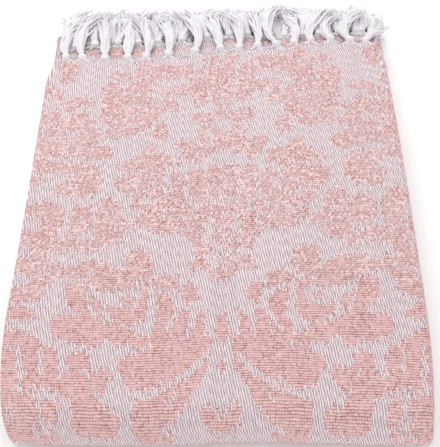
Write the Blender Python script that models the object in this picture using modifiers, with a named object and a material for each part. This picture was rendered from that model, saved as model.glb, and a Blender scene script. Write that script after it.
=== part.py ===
"""A cotton throw, folded in four across and in four along, with a knotted fringe at its two short ends.

The flat cloth has a place across, u, and a place along, v. Seen from its hem it is one back-and-forth
section of four plies. That section is carried along a second one like it, so the throw is sixteen plies high.
Lengths are in metres. +X is to the right, -Y is to the big front fold, +Z is up, and the throw rests on Z = 0.
"""

import math
from collections import namedtuple

import bmesh
import bpy
from mathutils import Vector

# Driving dimensions of the flat cloth
CLOTH_WIDTH = 1.300
CLOTH_LENGTH = 1.800
CLOTH_THICKNESS = 0.0017
HEM_STRIP = 0.006
SEAM_GAP = 0.00045

# How it is folded: the distance between two plies, and the run between two folds
PLY_PITCH = 0.0026
PLIES_ACROSS = 4
STACK_PITCH = PLY_PITCH * PLIES_ACROSS
RUN_ACROSS = 0.322
RUN_ALONG = 0.4362

# Mesh steps of a run and of a half turn
STEPS_ACROSS = {"run": 6, "turn": 4}
STEPS_ALONG = {"run": 7, "turn": 6}

# The fringe: knotted tassels at one spacing along each hem
TASSELS_A_PLY = 16
TASSEL_REACH = 0.052
TASSEL_UNEVENNESS = 0.10
UNEVEN_STEP = 2.4
TASSEL_DROOP = 0.0185
TASSEL_SWING = 0.0035
SWING_WAVE = 0.145
DROOP_SPAN = 0.064
SELVEDGE_MARGIN = 0.004

# A tassel's sections from inside the hem to its tip: reach as a share, half width and half depth
TasselSection = namedtuple("TasselSection", "reach half_width half_depth")
TASSEL_SECTIONS = (
    TasselSection(-0.04, 0.0052, 0.0006),
    TasselSection(0.07, 0.0026, 0.0009),
    TasselSection(0.14, 0.0040, 0.0017),
    TasselSection(0.22, 0.0025, 0.0011),
    TasselSection(0.52, 0.0042, 0.0017),
    TasselSection(0.86, 0.0046, 0.0012),
    TasselSection(1.00, 0.0020, 0.0004),
)

# How the soft stack has settled: sag and swell are shares of the height
EDGE_SAG = 0.045
EDGE_WIDTH = 0.040
FRONT_SWELL = 0.035
FRONT_WIDTH = 0.060
PINCH_START = 0.085

# Its slow waves: height (a share for the two rises, else metres), angle in radians a metre, and angle at 0
Wave = namedtuple("Wave", "height rate start")
RISE_ACROSS = Wave(0.012, 31, 0.8)
RISE_ALONG = Wave(0.012, 23, 1.9)
FRONT_WAVE = Wave(0.0014, 26, 0.5)
SLIP_BY_HEIGHT = Wave(0.0014, 110, 0.4)
SLIP_ALONG = Wave(0.0014, 9, -0.5)

# How the top four plies lie: their hem askew, and its corners drawn in over the last stretch
TOP_SKEW = 0.0115
TUCK_LENGTH = 0.050

# What differs between the two sides: how far the front is drawn in, and the corner of the top hem
Side = namedtuple("Side", "front_pinch hem_tuck")
LEFT_SIDE = Side(0.008, 0.008)
RIGHT_SIDE = Side(0.005, 0.004)

# The two hems: the strip that carries the tassels, the hem line, the first ply's phase and the tassels' lift
Hem = namedtuple("Hem", "name low high line phase lift")
HEMS = (
    Hem("fringe_under", 0.0, HEM_STRIP, 0.0, 0.25, 0.0),
    Hem("fringe_top", CLOTH_LENGTH - HEM_STRIP, CLOTH_LENGTH, CLOTH_LENGTH, 0.75, 0.0013),
)

# Finish: base colour, roughness
CORAL_COTTON = ((0.80, 0.47, 0.41, 1.0), 0.95)
WHITE_COTTON = ((0.86, 0.85, 0.87, 1.0), 0.95)

Spot = namedtuple("Spot", "along level normal")


class Run:
    """A straight stretch of the folded section, from one place along it to another, on one level."""

    kind = "run"

    def __init__(self, start, end, level):
        self.start = start
        self.level = level
        self.length = abs(end - start)
        self.heading = 1 if end > start else -1

    def spot(self, distance):
        along = self.start + self.heading * distance
        return Spot(along, self.level, (0.0, self.heading))


class Turn:
    """A half turn of the folded section about a centre. Its sweep is positive when it runs anticlockwise."""

    kind = "turn"

    def __init__(self, centre, radius, first_angle, sweep):
        self.centre = centre
        self.radius = radius
        self.first_angle = first_angle
        self.sweep = sweep
        self.length = abs(sweep) * radius

    def spot(self, distance):
        angle = self.first_angle + self.sweep * distance / self.length
        out = (math.cos(angle), math.sin(angle))
        side = -1 if self.sweep > 0 else 1
        along = self.centre[0] + self.radius * out[0]
        level = self.centre[1] + self.radius * out[1]
        return Spot(along, level, (side * out[0], side * out[1]))


class FoldedStrip:
    """A strip folded in half twice, seen from its edge: four runs joined by three half turns.

    The inner and the outer turn share a centre at the fold end, where along is 0. The middle turn and both
    free ends are at the open end. The outer free end falls short, as the outer turn is the longer.
    """

    def __init__(self, length, run, pitch):
        inner_turn = math.pi * pitch / 2
        outer_turn = math.pi * pitch * 3 / 2
        half = length / 2 - inner_turn / 2
        self.length = length
        self.pieces = (
            Run(half - run - inner_turn, 0.0, pitch / 2),
            Turn((0.0, 0.0), pitch / 2, math.pi / 2, math.pi),
            Run(0.0, run, -pitch / 2),
            Turn((run, -pitch), pitch / 2, math.pi / 2, -math.pi),
            Run(run, 0.0, -pitch * 3 / 2),
            Turn((0.0, 0.0), pitch * 3 / 2, math.pi * 3 / 2, -math.pi),
            Run(0.0, half - run - outer_turn, pitch * 3 / 2),
        )

    def spot(self, distance):
        """The place, the level and the left-hand normal at this distance from the strip's first end."""
        for piece in self.pieces[:-1]:
            if distance < piece.length:
                return piece.spot(distance)
            distance -= piece.length
        return self.pieces[-1].spot(distance)

    def starts(self):
        """The distance at which each piece begins, with the piece."""
        distance = 0.0
        for piece in self.pieces:
            yield distance, piece
            distance += piece.length

    def stations(self, steps, low, high):
        """The distances at which the mesh has a line: low, high and even steps of each piece between them."""
        even = [
            start + piece.length * step / steps[piece.kind]
            for start, piece in self.starts()
            for step in range(steps[piece.kind])
        ]
        return [low, *(distance for distance in even if low + HEM_STRIP < distance < high - HEM_STRIP), high]


ACROSS = FoldedStrip(CLOTH_WIDTH, RUN_ACROSS, PLY_PITCH)
ALONG = FoldedStrip(CLOTH_LENGTH, RUN_ALONG, STACK_PITCH)

# Places in the folded throw
HALF_WIDTH = RUN_ACROSS / 2
TOP_STACK_START = CLOTH_LENGTH - ALONG.pieces[-1].length
LOWEST_PLY = CLOTH_THICKNESS / 2
STACK_MIDDLE = LOWEST_PLY + STACK_PITCH * 3 / 2 + PLY_PITCH * 3 / 2
TASSEL_PITCH = RUN_ACROSS / TASSELS_A_PLY


def smooth(value, low, high):
    """0 up to low, 1 from high on, and an even S-curve between them."""
    share = min(max((value - low) / (high - low), 0.0), 1.0)
    return share * share * (3 - 2 * share)


def wave_at(wave, place):
    return wave.height * math.sin(wave.rate * place + wave.start)


def folded(u, v):
    """The flat cloth's point (u, v) in the folded throw, before it settles."""
    ply = ACROSS.spot(u)
    stack = ALONG.spot(v)
    offset = -ply.level
    x = HALF_WIDTH - ply.along
    y = stack.along + offset * stack.normal[0]
    z = STACK_MIDDLE + stack.level + offset * stack.normal[1]
    y += TOP_SKEW * smooth(v, TOP_STACK_START, CLOTH_LENGTH) * x / HALF_WIDTH
    side = LEFT_SIDE if x < 0 else RIGHT_SIDE
    x -= side.hem_tuck * smooth(v, CLOTH_LENGTH - TUCK_LENGTH, CLOTH_LENGTH) * x / HALF_WIDTH
    return Vector((x, y, z))


def settled(point):
    """The stack under its own weight: its edges sag, its front swells, waves and narrows, and its plies slip.

    Each step moves a point along one axis by an amount that keeps the points in order, so no two plies cross,
    and the lowest ply stays flat. Across and along add up and never multiply, so no face is twisted.
    """
    x, y, z = point
    across = wave_at(RISE_ACROSS, x) - EDGE_SAG * smooth(abs(x), HALF_WIDTH - EDGE_WIDTH, HALF_WIDTH)
    along = wave_at(RISE_ALONG, y) + FRONT_SWELL * (1 - smooth(y, 0.0, FRONT_WIDTH))
    z = LOWEST_PLY + (z - LOWEST_PLY) * (1 + across + along)
    y += wave_at(FRONT_WAVE, x) * (1 - smooth(y, 0.0, RUN_ALONG / 2))
    x += wave_at(SLIP_BY_HEIGHT, z) + wave_at(SLIP_ALONG, y)
    side = LEFT_SIDE if x < 0 else RIGHT_SIDE
    x -= side.front_pinch * max(1 - y / PINCH_START, 0.0) ** 2 * x / HALF_WIDTH
    return Vector((x, y, z))


def cotton(name, finish):
    """A plain matt cotton."""
    colour, roughness = finish
    material = bpy.data.materials.new(name)
    material.use_nodes = True
    shader = material.node_tree.nodes["Principled BSDF"]
    shader.inputs["Base Color"].default_value = colour
    shader.inputs["Roughness"].default_value = roughness
    shader.inputs["Metallic"].default_value = 0.0
    return material


def add_object(name, mesh, material, collection):
    mesh.materials.append(material)
    piece = bpy.data.objects.new(name, mesh)
    collection.objects.link(piece)
    return piece


def folded_sheet(name, low, high, material, collection):
    """The stretch of cloth between two places along it, folded, as a sheet of the cloth's thickness."""
    columns = ACROSS.stations(STEPS_ACROSS, 0.0, CLOTH_WIDTH)
    rows = ALONG.stations(STEPS_ALONG, low, high)
    flat = bmesh.new()
    across, along = len(columns) - 1, len(rows) - 1
    bmesh.ops.create_grid(flat, x_segments=across, y_segments=along, size=0.5)
    for vertex in flat.verts:
        u = columns[round((vertex.co.x + 0.5) * across)]
        v = rows[round((vertex.co.y + 0.5) * along)]
        vertex.co = settled(folded(u, v))
    mesh = bpy.data.meshes.new(name)
    flat.to_mesh(mesh)
    flat.free()
    sheet = add_object(name, mesh, material, collection)
    thicken = sheet.modifiers.new("thickness", "SOLIDIFY")
    thicken.thickness = CLOTH_THICKNESS
    thicken.offset = 0.0
    thicken.use_even_offset = True
    return sheet


def tassel_roots(hem):
    """Where each tassel of a hem starts, with its length.

    The tassels of neighbouring plies are half a spacing apart, so they interleave.
    """
    for start, run in ACROSS.starts():
        if run.kind == "turn":
            continue
        by_height = round((run.level / PLY_PITCH) - 0.5)
        phase = hem.phase if by_height % 2 else 1 - hem.phase
        for count in range(TASSELS_A_PLY):
            along = (count + phase) * TASSEL_PITCH
            distance = abs(along - run.start)
            if SELVEDGE_MARGIN < distance < run.length - SELVEDGE_MARGIN:
                length = TASSEL_REACH * (1 + TASSEL_UNEVENNESS * math.sin(count * UNEVEN_STEP + by_height))
                yield folded(start + distance, hem.line), length


def tassel_centre(root, reach, highest_lift):
    """A point of a tassel's middle line, which leaves the hem level, then swings aside and droops."""
    y = root.y + reach
    lift = highest_lift * smooth(reach, 0.0, TASSEL_SECTIONS[2].reach * TASSEL_REACH)
    droop = TASSEL_DROOP * smooth(y, RUN_ALONG + STACK_PITCH / 2, RUN_ALONG + DROOP_SPAN)
    bend = (max(reach, 0.0) / TASSEL_REACH) ** 2
    swing = TASSEL_SWING * bend * math.sin(2 * math.pi * root.x / SWING_WAVE)
    return Vector((root.x + swing, y, root.z + lift - droop))


def add_tassel(mesh, root, length, lift):
    """One tassel as a loft of four-cornered sections: gathered at the hem, knotted, then full and soft."""
    rings = []
    for section in TASSEL_SECTIONS:
        centre = tassel_centre(root, section.reach * length, lift)
        corners = (
            (section.half_width, 0.0),
            (0.0, section.half_depth),
            (-section.half_width, 0.0),
            (0.0, -section.half_depth),
        )
        rings.append([mesh.verts.new(settled(centre + Vector((dx, 0.0, dz)))) for dx, dz in corners])
    mesh.faces.new(rings[0])
    mesh.faces.new(reversed(rings[-1]))
    for ring, following in zip(rings, rings[1:]):
        for corner in range(len(ring)):
            after = (corner + 1) % len(ring)
            mesh.faces.new((ring[corner], following[corner], following[after], ring[after]))


def fringe(hem, material, collection, helpers):
    """One end's fringe: its tassels fused to a narrow strip parted from the cloth's hem."""
    strip = folded_sheet(hem.name, hem.low, hem.high, material, collection)
    locks = bmesh.new()
    for root, length in tassel_roots(hem):
        add_tassel(locks, root, length, hem.lift)
    bmesh.ops.recalc_face_normals(locks, faces=locks.faces)
    mesh = bpy.data.meshes.new(hem.name + "_tassels")
    locks.to_mesh(mesh)
    locks.free()
    tassels = add_object(hem.name + "_tassels", mesh, material, helpers)
    tassels.hide_render = True
    tassels.display_type = "WIRE"
    join = strip.modifiers.new("tassels", "BOOLEAN")
    join.operation = "UNION"
    join.solver = "EXACT"
    join.object = tassels


def centre_on_base(collections):
    """Moves everything so that the visible throw's box is centred over the origin."""
    bpy.context.view_layer.update()
    graph = bpy.context.evaluated_depsgraph_get()
    corners = [
        piece.matrix_world @ Vector(corner)
        for piece in collections[0].objects
        for corner in piece.evaluated_get(graph).bound_box
    ]
    shift = Vector(
        (
            -(min(c.x for c in corners) + max(c.x for c in corners)) / 2,
            -(min(c.y for c in corners) + max(c.y for c in corners)) / 2,
            0.0,
        )
    )
    for collection in collections:
        for piece in collection.objects:
            piece.location += shift
    bpy.context.view_layer.update()


def main():
    for leftover in list(bpy.data.objects):
        bpy.data.objects.remove(leftover)
    throw = bpy.data.collections.new("folded_throw")
    helpers = bpy.data.collections.new("helpers")
    for collection in (throw, helpers):
        bpy.context.scene.collection.children.link(collection)
    first_seam = HEM_STRIP + SEAM_GAP
    last_seam = CLOTH_LENGTH - first_seam
    folded_sheet("throw_cloth", first_seam, last_seam, cotton("jacquard_cotton", CORAL_COTTON), throw)
    fringe_cotton = cotton("fringe_cotton", WHITE_COTTON)
    for hem in HEMS:
        fringe(hem, fringe_cotton, throw, helpers)
    centre_on_base((throw, helpers))


main()
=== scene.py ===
"""Folded cotton throw: a jacquard throw folded in four each way, with a knotted fringe at both hems."""

import functools
import math

import bpy
import numpy as np
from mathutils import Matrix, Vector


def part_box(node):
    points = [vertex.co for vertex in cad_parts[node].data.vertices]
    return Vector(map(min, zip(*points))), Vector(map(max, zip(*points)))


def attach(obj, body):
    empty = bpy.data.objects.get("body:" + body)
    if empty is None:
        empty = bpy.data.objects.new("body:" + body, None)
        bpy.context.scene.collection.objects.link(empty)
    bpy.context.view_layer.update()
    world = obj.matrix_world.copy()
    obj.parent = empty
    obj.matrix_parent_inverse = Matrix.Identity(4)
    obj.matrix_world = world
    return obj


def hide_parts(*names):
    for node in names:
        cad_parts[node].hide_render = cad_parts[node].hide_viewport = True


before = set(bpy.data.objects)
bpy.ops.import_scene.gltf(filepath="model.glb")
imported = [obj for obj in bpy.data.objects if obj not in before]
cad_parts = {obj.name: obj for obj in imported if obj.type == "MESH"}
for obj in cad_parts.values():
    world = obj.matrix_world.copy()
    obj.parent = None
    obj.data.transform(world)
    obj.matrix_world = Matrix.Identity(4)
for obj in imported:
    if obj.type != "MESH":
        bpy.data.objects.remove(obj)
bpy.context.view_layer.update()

# The flat cloth and how it is folded, in metres, as in the part's source
CLOTH_WIDTH = 1.300
CLOTH_LENGTH = 1.800
CLOTH_THICKNESS = 0.0017
PLY_PITCH = 0.0026
STACK_PITCH = PLY_PITCH * 4
RUN_ACROSS = 0.322
RUN_ALONG = 0.4362
HALF_WIDTH = RUN_ACROSS / 2
LOWEST_PLY = CLOTH_THICKNESS / 2
STACK_MIDDLE = LOWEST_PLY + STACK_PITCH * 1.5 + PLY_PITCH * 1.5

# Mesh steps of the seven pieces of a strip folded in four, a run and a turn in turn
STEPS_ACROSS = (6, 6, 6, 6, 36, 8, 6)
STEPS_ALONG = (40, 6, 40, 6, 40, 6, 44)
# Each coarse step on the outermost ply, over the front and the top, is parted in this many
FINE_STEPS = 4
# The numbers among the pieces of the outermost ply, across, and of the front's turn, along
OUTER_PLY = 4
FRONT_TURN = 5

# How the soft stack has settled: sag and swell are shares of the height, and the rest is in metres
EDGE_SAG = 0.045
EDGE_WIDTH = 0.040
FRONT_SWELL = 0.035
FRONT_WIDTH = 0.060
PINCH_START = 0.085
TOP_SKEW = 0.0115
SKEW_REACH = 0.26
TUCK_LENGTH = 0.050
# How much further back the top hem ends on each of the cloth's runs, and its slow wave
HEM_SLIP = (0.0105, 0.0125, 0.0, 0.0130)
HEM_SLIP_WAVE = (0.0022, 47, 0.7)
# On the topmost ply it lies on a line of its own: places across, and how far back it is there
HEM_PLACES = (-0.161, -0.136, -0.091, -0.060, -0.022, 0.005, 0.061, 0.096, 0.115, 0.136, 0.161)
HEM_BACK = (-0.009, -0.013, -0.016, -0.015, -0.012, -0.009, -0.007, -0.002, -0.002, -0.004, -0.006)
# How far the sides are drawn in at the front and at the hem, on the left and on the right
FRONT_PINCH = (0.008, 0.005)
HEM_TUCK = (0.008, 0.004)

# The stack's slow waves: height (in the rises a share of the stack's), radians a metre, and angle at 0
RISE_ACROSS = (0.012, 31, 0.8)
RISE_ALONG = (0.012, 23, 1.9)
FRONT_WAVE = (0.0014, 26, 0.5)
SLIP_BY_HEIGHT = (0.0014, 110, 0.4)
SLIP_ALONG = (0.0014, 9, -0.5)

# The fringe: knotted tassels at one spacing along each hem, uneven in length by a sine of their number
TASSELS_A_PLY = 16
TASSEL_PITCH = RUN_ACROSS / TASSELS_A_PLY
TASSEL_REACH = 0.052
TASSEL_UNEVENNESS = 0.10
SECOND_ROW_LENGTH = 0.98
UNEVEN_STEP = 2.4
TASSEL_DROOP = 0.0185
TASSEL_SWING = 0.0035
SWING_WAVE = 0.145
DROOP_SPAN = 0.064
SELVEDGE_MARGIN = 0.004
TASSEL_JITTER = 0.0020
END_PLACE = 0.150
KNOT_SHARE = 0.09

# The weave: a five-end satin of fine white warp ends and thick coral picks
WARP_PITCH = 0.00086
PICK_PITCH = 0.0023
SATIN_ENDS = 5
SATIN_STEP = 3
SATIN_BIND = 2

# The woven figure in millimetres: its repeat, the first row of its table on the top ply, and its mirror
# axis there; then the points on a bent line, and how far off a white line it is still drawn
REPEAT_ACROSS = 325.0
REPEAT_ALONG = 450.0
FIRST_ROW = -44.0
AXIS_ON_TOP = 5.0
SPINE_POINTS = 14
LINE_REACH = 3.0

# Along the cloth from the front fold: where its extra picks start and end, how many they are, where the
# tight weave ends, and where the slack one starts
FOLD_REACH = 0.045
FOLD_PAST = 0.005
FOLD_EXTRA_PICKS = 7.0
TIGHT_REACH = 0.085
SLACK_REACH = 0.138

# The figure's petals, in millimetres: root and tip, from the mirror axis and from the front fold, the bend
# of the middle line, and the half width at root, middle and tip
PETALS = (
    # lily
    (4, 334, 6, 352, 0, 5, 6, 6), (6, 350, 10, 394, 2, 6, 8, 8), (20, 334, 24, 362, 2, 7, 9, 8),
    (20, 366, 44, 386, 3, 9, 11, 10), (44, 380, 66, 386, 2, 9, 11, 9), (34, 352, 50, 352, -1, 7, 9, 7),
    (60, 372, 72, 374, 0, 5, 6, 4), (70, 354, 84, 372, 2, 4, 6, 4), (50, 338, 44, 324, 0, 5, 6, 4),
    (90, 378, 106, 384, 2, 4, 6, 4),
    # two lobes and a collar under the lily
    (8, 308, 25, 312, -4, 7, 9, 5), (2, 318, 3, 328, 0, 3, 3, 4), (9, 290, 19, 287, 2, 3, 4, 3),
    # upper scroll
    (61, 330, 84, 302, -4, 7, 11, 10), (57, 299, 56, 289, 0, 6, 8, 8), (76, 295, 100, 293, 2, 7, 8, 7),
    (93, 311, 112, 312, 2, 8, 9, 7), (98, 344, 104, 363, -2, 9, 11, 10), (66, 341, 102, 338, 3, 6, 9, 10),
    (78, 326, 104, 325, -2, 6, 8, 7), (113, 290, 130, 322, -3, 6, 8, 6), (124, 341, 148, 332, 4, 5, 8, 7),
    (152, 294, 157, 324, 3, 8, 9, 6), (84, 358, 88, 364, 0, 4, 5, 3), (136, 303, 140, 318, 0, 4, 6, 4),
    # top corners
    (150, 378, 154, 398, 2, 6, 8, 8), (80, 384, 77, 397, 0, 5, 6, 6), (154, 350, 158, 362, 0, 5, 6, 5),
    # leaf at the side, pointing inwards, with its band and its curl
    (108, 265, 140, 272, 2, 10, 13, 14), (138, 272, 162, 282, 0, 13, 15, 16),
    (116, 278, 134, 286, 3, 5, 7, 6), (128, 246, 162, 255, -3, 7, 7, 8),
    (122, 240, 120, 223, 0, 12, 15, 13), (132, 216, 138, 225, -2, 7, 6, 5),
    (160, 236, 164, 230, 0, 4, 5, 4),
    # palmette: crown, round heart, outer lobes
    (4, 262, 6, 284, 1, 3, 5, 3), (14, 258, 18, 282, 2, 4, 6, 4), (26, 252, 34, 271, 3, 6, 9, 7),
    (43, 247, 54, 254, 2, 6, 7, 6), (6, 207, 7, 235, 0, 7, 8, 6), (20, 205, 24, 232, 2, 7, 9, 7),
    (38, 203, 42, 230, 2, 5, 7, 5), (40, 200, 56, 211, -3, 6, 9, 7), (57, 219, 84, 226, -3, 9, 13, 10),
    (60, 236, 73, 251, 3, 10, 11, 8), (65, 250, 66, 266, 0, 7, 8, 6), (80, 240, 89, 246, 2, 5, 6, 4),
    (5, 170, 5, 190, 0, 4, 5, 5), (16, 176, 14, 196, 0, 4, 6, 5), (26, 180, 28, 198, 0, 5, 6, 5),
    (22, 158, 27, 172, 2, 6, 8, 6), (34, 172, 66, 181, -3, 6, 9, 7), (36, 187, 62, 193, 2, 7, 8, 6),
    (70, 196, 76, 202, 0, 5, 6, 4),
    # leaves beside the palmette
    (92, 162, 96, 196, -3, 9, 13, 11), (88, 176, 79, 174, 0, 8, 8, 6), (100, 162, 105, 157, 0, 8, 8, 6),
    (119, 174, 119, 192, 0, 9, 11, 9), (144, 170, 153, 198, 4, 8, 11, 10), (149, 150, 158, 166, 2, 6, 9, 8),
    (106, 149, 144, 152, 5, 4, 8, 8), (142, 150, 148, 134, 3, 6, 7, 5), (110, 126, 138, 130, -3, 6, 7, 6),
    (150, 126, 158, 138, 0, 6, 7, 7),
    # pendant
    (26, 161, 17, 143, -2, 6, 6, 5), (17, 144, 23, 127, -4, 4, 5, 5), (14, 126, 3, 117, -3, 4, 6, 6),
    (4, 166, 4, 147, 0, 3, 4, 3), (11, 160, 10, 142, 0, 2, 3, 2), (3, 137, 6, 130, 0, 2, 3, 2),
    # peony: knob and upper petals, outer lobes, heart, inner petals
    (67, 119, 69, 136, 0, 11, 12, 11), (74, 115, 106, 113, 2, 11, 12, 9), (89, 124, 112, 131, 2, 5, 7, 6),
    (98, 84, 118, 108, -4, 8, 10, 7), (101, 88, 100, 65, 2, 9, 11, 9), (111, 61, 121, 68, 2, 9, 12, 12),
    (79, 64, 78, 55, 0, 8, 8, 6), (99, 62, 98, 54, 0, 9, 8, 6), (76, 64, 104, 66, 0, 8, 8, 8),
    (63, 86, 86, 82, -6, 6, 10, 7), (61, 92, 61, 108, 1, 6, 6, 5), (70, 94, 79, 94, 0, 2, 3, 2),
    (36, 107, 51, 112, 3, 6, 8, 6), (25, 92, 31, 106, 3, 5, 6, 6), (46, 82, 47, 98, 2, 6, 7, 5),
    (18, 54, 15, 79, -2, 7, 5, 3), (31, 56, 29, 80, -2, 7, 6, 4), (47, 50, 41, 78, -3, 7, 7, 5),
    (47, 53, 65, 55, -1, 6, 7, 6),
    # big leaf, the scroll under it and the stem's own leaves
    (14, 53, 57, 34, -3, 7, 19, 16), (40, 25, 66, 22, -1, 11, 14, 10), (60, 34, 70, 31, 0, 8, 10, 9),
    (10, 40, 33, 7, -4, 2, 5, 8), (30, 6, 57, -9, -1, 8, 12, 12), (57, -8, 59, -24, 0, 11, 10, 7),
    (0, 52, 0, 76, 0, 3, 5, 3), (0, 24, 0, 31, 0, 2, 3, 2), (3, -17, 11, -9, 1, 4, 6, 5),
    (10, -34, 16, -38, 0, 5, 6, 5),
    # clusters at the side
    (104, 20, 109, 37, 0, 8, 8, 8), (98, 17, 88, 24, 0, 7, 7, 6), (97, 11, 142, 17, 2, 9, 11, 10),
    (126, 22, 134, 43, -2, 7, 9, 8), (143, 30, 151, 55, 3, 8, 9, 7), (98, 0, 120, 3, 0, 7, 8, 7),
    (86, -14, 108, -13, 2, 8, 11, 8), (46, -22, 58, -22, 0, 8, 9, 8), (40, -41, 150, -41, 0, 6, 7, 6),
    (128, -7, 150, -3, 2, 7, 9, 8), (135, -24, 158, -19, 1, 8, 10, 9), (162, 84, 149, 80, 0, 7, 7, 5),
    (162, 104, 146, 106, 2, 8, 9, 7), (149, 113, 138, 119, 1, 6, 8, 5), (158, 62, 162, 54, 0, 5, 6, 5),
    (156, -6, 159, 24, 2, 5, 8, 6), (161, 30, 159, 46, 0, 4, 6, 4),
)

# The figure's white lines, in millimetres: from and to, the bend, and the half width
LINES = (
    # lily and scroll
    (0, 404, 0, 330, 0, 1.3), (13, 400, 12, 336, 2, 1.2), (27, 384, 31, 336, -2, 1.3),
    (34, 398, 38, 366, 0, 1.2), (54, 374, 42, 340, 2, 1.3), (62, 336, 94, 331, 2, 1.4),
    (84, 318, 112, 318, 1, 1.2), (119, 332, 107, 298, 2, 1.5), (88, 353, 68, 349, 1, 1.2),
    (70, 300, 92, 302, 1, 1.2), (146, 344, 150, 296, 0, 1.6),
    # side leaf
    (112, 255, 162, 264, 1, 1.5), (122, 272, 160, 290, 2, 1.2), (130, 238, 133, 224, 2, 1.3),
    (118, 262, 142, 266, 1, 1.0),
    # palmette
    (0, 256, 0, 199, 0, 1.2), (13, 244, 13, 200, 1, 1.2), (31, 240, 31, 200, 2, 1.3),
    (47, 238, 50, 208, 2, 1.3), (10, 284, 9, 258, 0, 1.2), (22, 280, 20, 252, 1, 1.3),
    (38, 262, 44, 240, 1, 1.3), (58, 246, 52, 226, 1, 1.3), (62, 240, 86, 236, 1, 1.3),
    (56, 222, 74, 213, 0, 1.2), (32, 187, 58, 186, 2, 1.2), (22, 200, 30, 168, 0, 1.4),
    (10, 198, 10, 168, 0, 1.2), (0, 196, 0, 166, 0, 1.2),
    # leaves beside it
    (108, 198, 108, 164, 0, 1.8), (132, 192, 134, 162, 0, 1.8), (94, 192, 90, 170, 1, 1.0),
    (112, 150, 138, 150, 2, 1.0),
    # pendant
    (7, 168, 7, 140, 0, 1.3), (14, 160, 14, 134, 1, 1.3), (0, 152, 0, 122, 0, 1.2),
    (11, 134, 6, 124, 1, 1.2),
    # peony
    (66, 104, 94, 103, -1, 1.5), (94, 103, 113, 116, -2, 1.6), (66, 98, 68, 89, 0, 1.3),
    (68, 89, 84, 90, -2, 1.3), (84, 90, 84, 98, 0, 1.3), (92, 99, 87, 76, 3, 1.5), (87, 76, 70, 68, 2, 1.4),
    (58, 113, 57, 64, -1, 1.4), (33, 118, 35, 100, -1, 1.3), (34, 97, 45, 62, -2, 1.4),
    (34, 99, 54, 101, 2, 1.3), (24, 88, 26, 58, -2, 1.6), (54, 98, 52, 84, 1, 1.2),
    (106, 100, 96, 78, 2, 1.1), (60, 118, 70, 112, 0, 1.2),
    # big leaf and scroll
    (13, 38, 58, 3, -4, 2.9), (44, 17, 54, 8, 0, 1.2), (54, 50, 66, 44, 0, 1.3), (34, 8, 40, 0, 0, 1.1),
    # clusters
    (114, 50, 123, 22, 1, 1.7), (138, 46, 137, 26, 0, 1.5), (96, 7, 89, -4, 0, 1.5),
    (140, 12, 124, 5, 0, 1.5), (104, 26, 98, 14, 0, 1.2), (140, -10, 146, -22, 0, 1.4),
    (155, 50, 153, 16, 0, 1.5), (156, 10, 116, 0, 1, 2.2), (123, -2, 125, -24, 0, 1.6),
    (139, 0, 135, -26, 0, 1.4), (118, 0, 116, -18, 0, 1.7), (116, -18, 102, -30, -1, 1.9),
    (104, -30, 66, -31, 0, 1.9), (66, -31, 24, -33, 0, 1.5), (30, -12, 46, -20, 1, 2.0),
)


def smooth(value, low, high):
    """0 up to low, 1 from high on, and an even S-curve between them."""
    share = np.clip((value - low) / (high - low), 0, 1)
    return share * share * (3 - 2 * share)


def wave(shape, place):
    """A sine of the given height, rate and start."""
    height, rate, start = shape
    return height * np.sin(rate * place + start)


def strip_pieces(length, run, pitch):
    """The section of a strip folded in half twice: four straight runs joined by three half turns.

    A run is its length, start, heading and level. A turn is its length, its centre's place and level, its
    radius, its first angle and its sweep. The outer turn is the longer, so the last run falls short.
    """
    inner_turn = math.pi * pitch / 2
    half = length / 2 - inner_turn / 2
    first_run = half - run - inner_turn
    last_run = half - run - inner_turn * 3
    return (
        (first_run, first_run, -1, pitch / 2),
        (inner_turn, 0, 0, pitch / 2, math.pi / 2, math.pi),
        (run, 0, 1, -pitch / 2),
        (inner_turn, run, -pitch, pitch / 2, math.pi / 2, -math.pi),
        (run, run, -1, -pitch * 1.5),
        (inner_turn * 3, 0, 0, pitch * 1.5, math.pi * 1.5, -math.pi),
        (last_run, 0, 1, pitch * 1.5),
    )


ACROSS = strip_pieces(CLOTH_WIDTH, RUN_ACROSS, PLY_PITCH)
ALONG = strip_pieces(CLOTH_LENGTH, RUN_ALONG, STACK_PITCH)
PLY_STARTS = np.cumsum([0] + [piece[0] for piece in ACROSS])
STACK_STARTS = np.cumsum([0] + [piece[0] for piece in ALONG])
TOP_STACK_START = STACK_STARTS[6]


def strip_spots(pieces, distance):
    """Place, level and left-hand normal at each distance along a folded strip.

    On a run the place is start + heading * distance on one level. On a turn it is centre + radius *
    (cos, sin) of an angle that grows evenly with the distance.
    """
    distance = np.asarray(distance, float)
    place, level, normal_place, normal_level = (np.zeros_like(distance) for _ in range(4))
    start = 0
    for number, piece in enumerate(pieces):
        last = number == len(pieces) - 1
        here = (distance >= start) & (last | (distance < start + piece[0]))
        passed = distance - start
        if len(piece) == 4:
            place = np.where(here, piece[1] + piece[2] * passed, place)
            level = np.where(here, piece[3], level)
            normal_level = np.where(here, piece[2], normal_level)
        else:
            angle = piece[4] + piece[5] * passed / piece[0]
            side = -1 if piece[5] > 0 else 1
            place = np.where(here, piece[1] + piece[3] * np.cos(angle), place)
            level = np.where(here, piece[2] + piece[3] * np.sin(angle), level)
            normal_place = np.where(here, side * np.cos(angle), normal_place)
            normal_level = np.where(here, side * np.sin(angle), normal_level)
        start += piece[0]
    return place, level, normal_place, normal_level


def by_side(pair, x):
    """The first of a pair on the left, the second on the right."""
    return np.where(x < 0, pair[0], pair[1])


def on_outer_ply(u):
    """Whether each place across the flat cloth is on the run that ends outermost."""
    return (u >= PLY_STARTS[OUTER_PLY]) & (u <= PLY_STARTS[OUTER_PLY + 1])


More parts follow.
